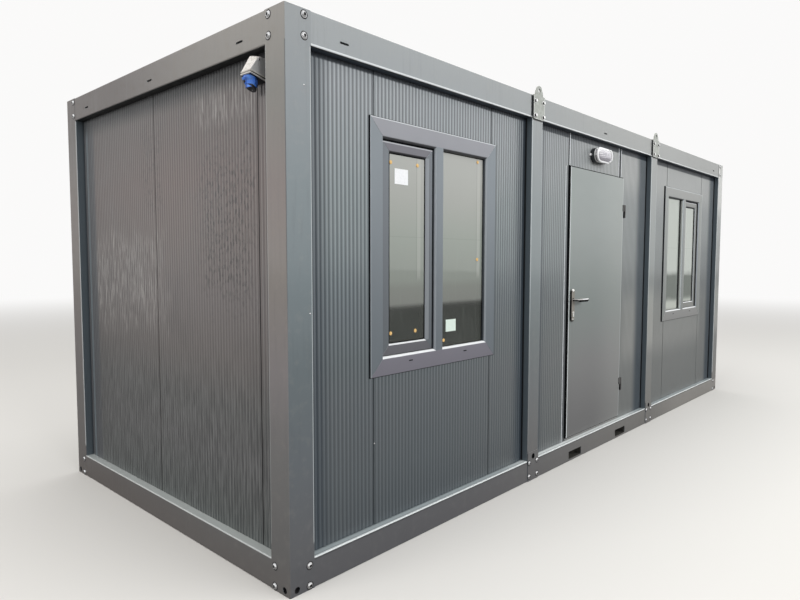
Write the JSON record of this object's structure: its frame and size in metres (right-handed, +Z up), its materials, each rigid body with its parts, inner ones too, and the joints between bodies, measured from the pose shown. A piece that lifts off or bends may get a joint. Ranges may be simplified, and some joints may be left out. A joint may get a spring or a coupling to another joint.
{
  "type": "portable site cabin",
  "caption": "Long flat-roofed steel site cabin with corner and middle posts, ribbed wall panels, two windows, a hinged door, a lamp, a power inlet, lifting eyes and fork pockets.",
  "frame": {"origin": "on the ground at the middle of the cabin's base, halfway along its length and its width", "axes": "+X along the long side towards the right end as seen from the front, +Y towards the back, +Z up; the door side faces -Y"},
  "size_m": [6.093, 2.471, 2.604],
  "materials": {
    "frame_paint": "satin anthracite paint, wet in places",
    "bracket_steel": "satin anthracite paint",
    "pocket_steel": "satin anthracite paint",
    "wall_panel": "satin coated sheet with fine upright ribs",
    "roof_sheet": "weathered coated sheet",
    "floor_deck": "matt deck",
    "window_profile": "satin anthracite foil",
    "window_glass": "clear glass",
    "door_paint": "smooth satin anthracite paint",
    "hinge_steel": "dark painted steel",
    "lever_metal": "brushed",
    "lamp_body": "dark moulded housing",
    "lamp_glass": "clear ribbed glass",
    "inlet_housing": "pale grey moulded housing",
    "inlet_blue": "blue moulded plastic"
  },
  "bodies": {
    "cabin": {"corner_post_front_left": "frame_paint", "corner_post_front_right": "frame_paint", "corner_post_back_left": "frame_paint", "corner_post_back_right": "frame_paint", "mid_post_front_left": "frame_paint", "mid_post_front_right": "frame_paint", "mid_post_back_left": "frame_paint", "mid_post_back_right": "frame_paint", "bottom_rail_front": "frame_paint", "bottom_rail_back": "frame_paint", "bottom_rail_left": "frame_paint", "bottom_rail_right": "frame_paint", "top_rail_front": "frame_paint", "top_rail_back": "frame_paint", "top_rail_left": "frame_paint", "top_rail_right": "frame_paint", "lifting_bracket_front_left": "bracket_steel", "lifting_bracket_front_right": "bracket_steel", "lifting_bracket_back_left": "bracket_steel", "lifting_bracket_back_right": "bracket_steel", "fork_pocket_left": "pocket_steel", "fork_pocket_right": "pocket_steel", "floor_panel": "floor_deck", "floor_joists": "frame_paint", "roof_panel": "roof_sheet", "wall_front_left": "wall_panel", "wall_front_right": "wall_panel", "wall_over_door": "wall_panel", "wall_back": "wall_panel", "wall_left": "wall_panel", "wall_right": "wall_panel", "window_left_frame": "window_profile", "window_left_sash": "window_profile", "window_left_glass": "window_glass", "window_right_frame": "window_profile", "window_right_sash": "window_profile", "window_right_glass": "window_glass", "door_frame": "frame_paint", "door_hinges": "hinge_steel", "lamp_base": "lamp_body", "lamp_glass": "lamp_glass", "inlet_hood": "inlet_housing", "inlet_socket": "inlet_blue"},
    "door": {"door_leaf": "door_paint"},
    "lever": {"door_lever": "lever_metal"}
  },
  "joints": [
    {"name": "door_hinge", "type": "hinge", "parent": "cabin", "child": "door", "pos_m": [0.475, -1.1705, 1.16], "axis": [0, 0, 1], "range_deg": [0, 110]},
    {"name": "lever_turn", "type": "hinge", "parent": "door", "child": "lever", "pos_m": [-0.4225, -1.2, 1.192], "axis": [0, 1, 0], "range_deg": [0, 40], "stiffness_Nm_per_rad": 1.2, "springref_deg": -28.65}
  ]
}
